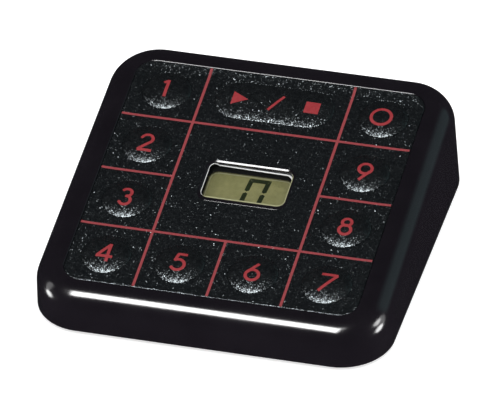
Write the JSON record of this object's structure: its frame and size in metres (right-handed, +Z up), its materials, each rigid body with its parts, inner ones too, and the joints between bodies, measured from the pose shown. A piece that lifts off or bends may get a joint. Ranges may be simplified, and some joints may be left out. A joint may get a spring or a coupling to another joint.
{
  "type": "chess clock",
  "caption": "Low wedge-shaped keypad game clock with a central digit display, round numeral keys round the edge and one wide start and stop key.",
  "frame": {"origin": "under the middle of the case, level with the soles of the feet", "axes": "+Z up, -Y towards the player, +X to the player's right"},
  "size_m": [0.097, 0.0948, 0.0274],
  "materials": {
    "case_gloss": "polished black moulding",
    "base_satin": "fine satin black moulding",
    "overlay_film": "grained black film with red printed lines and numerals",
    "clear_plastic": "clear polished",
    "display_glass": "clear display glass",
    "display_back": "grey-green reflector",
    "silicone": "matt silicone",
    "white_plastic": "white moulding",
    "circuit_board": "green solder mask",
    "epoxy": "black epoxy",
    "tin": "tinned",
    "spring_steel": "nickel plated",
    "brass": "bright",
    "cell_sleeve": "plain printed sleeve",
    "red_sleeve": "wire sleeve",
    "black_sleeve": "wire sleeve",
    "zinc": "zinc plated",
    "foot_rubber": "matt rubber"
  },
  "bodies": {
    "clock": {"top_case": "case_gloss", "bottom_case": "base_satin", "overlay_panel": "overlay_film", "window_lens": "clear_plastic", "key_mat": "silicone", "main_board": "circuit_board", "lcd_front_glass": "display_glass", "lcd_rear_glass": "display_glass", "lcd_reflector": "display_back", "lcd_frame": "white_plastic", "zebra_strip_upper": "silicone", "zebra_strip_lower": "silicone", "controller_chip": "epoxy", "quartz_crystal": "tin", "capacitor_1": "epoxy", "capacitor_2": "epoxy", "piezo_sounder": "brass", "battery_cell_1": "cell_sleeve", "battery_cell_2": "cell_sleeve", "battery_spring_1": "spring_steel", "battery_spring_2": "spring_steel", "contact_bridge": "tin", "contact_positive": "tin", "contact_negative": "tin", "battery_wire_red": "red_sleeve", "battery_wire_black": "black_sleeve", "sounder_wire_red": "red_sleeve", "sounder_wire_black": "black_sleeve", "case_screw_1": "zinc", "board_screw_1": "zinc", "foot_1": "foot_rubber", "case_screw_2": "zinc", "board_screw_2": "zinc", "foot_2": "foot_rubber", "case_screw_3": "zinc", "board_screw_3": "zinc", "foot_3": "foot_rubber", "case_screw_4": "zinc", "board_screw_4": "zinc", "foot_4": "foot_rubber"},
    "door": {"battery_door": "base_satin"},
    "key_0": {"key_0": "overlay_film"},
    "key_1": {"key_1": "overlay_film"},
    "key_2": {"key_2": "overlay_film"},
    "key_3": {"key_3": "overlay_film"},
    "key_4": {"key_4": "overlay_film"},
    "key_5": {"key_5": "overlay_film"},
    "key_6": {"key_6": "overlay_film"},
    "key_7": {"key_7": "overlay_film"},
    "key_8": {"key_8": "overlay_film"},
    "key_9": {"key_9": "overlay_film"},
    "key_start_stop": {"key_start_stop": "overlay_film"}
  },
  "joints": [
    {"name": "key_0_press", "type": "slide", "parent": "clock", "child": "key_0", "axis": [0, 0.1693, -0.9856], "range_m": [0, 0.0007], "stiffness_N_per_m": 400, "springref_m": -0.002, "deforming": ["key_mat"]},
    {"name": "key_1_press", "type": "slide", "parent": "clock", "child": "key_1", "axis": [0, 0.1693, -0.9856], "range_m": [0, 0.0007], "stiffness_N_per_m": 400, "springref_m": -0.002, "deforming": ["key_mat"]},
    {"name": "key_2_press", "type": "slide", "parent": "clock", "child": "key_2", "axis": [0, 0.1693, -0.9856], "range_m": [0, 0.0007], "stiffness_N_per_m": 400, "springref_m": -0.002, "deforming": ["key_mat"]},
    {"name": "key_3_press", "type": "slide", "parent": "clock", "child": "key_3", "axis": [0, 0.1693, -0.9856], "range_m": [0, 0.0007], "stiffness_N_per_m": 400, "springref_m": -0.002, "deforming": ["key_mat"]},
    {"name": "key_4_press", "type": "slide", "parent": "clock", "child": "key_4", "axis": [0, 0.1693, -0.9856], "range_m": [0, 0.0007], "stiffness_N_per_m": 400, "springref_m": -0.002, "deforming": ["key_mat"]},
    {"name": "key_5_press", "type": "slide", "parent": "clock", "child": "key_5", "axis": [0, 0.1693, -0.9856], "range_m": [0, 0.0007], "stiffness_N_per_m": 400, "springref_m": -0.002, "deforming": ["key_mat"]},
    {"name": "key_6_press", "type": "slide", "parent": "clock", "child": "key_6", "axis": [0, 0.1693, -0.9856], "range_m": [0, 0.0007], "stiffness_N_per_m": 400, "springref_m": -0.002, "deforming": ["key_mat"]},
    {"name": "key_7_press", "type": "slide", "parent": "clock", "child": "key_7", "axis": [0, 0.1693, -0.9856], "range_m": [0, 0.0007], "stiffness_N_per_m": 400, "springref_m": -0.002, "deforming": ["key_mat"]},
    {"name": "key_8_press", "type": "slide", "parent": "clock", "child": "key_8", "axis": [0, 0.1693, -0.9856], "range_m": [0, 0.0007], "stiffness_N_per_m": 400, "springref_m": -0.002, "deforming": ["key_mat"]},
    {"name": "key_9_press", "type": "slide", "parent": "clock", "child": "key_9", "axis": [0, 0.1693, -0.9856], "range_m": [0, 0.0007], "stiffness_N_per_m": 400, "springref_m": -0.002, "deforming": ["key_mat"]},
    {"name": "key_start_stop_press", "type": "slide", "parent": "clock", "child": "key_start_stop", "axis": [0, 0.1693, -0.9856], "range_m": [0, 0.0007], "stiffness_N_per_m": 400, "springref_m": -0.002, "deforming": ["key_mat"]},
    {"name": "battery_door_slide", "type": "slide", "parent": "clock", "child": "door", "axis": [0, 1, 0], "range_m": [0, 0.032]}
  ]
}
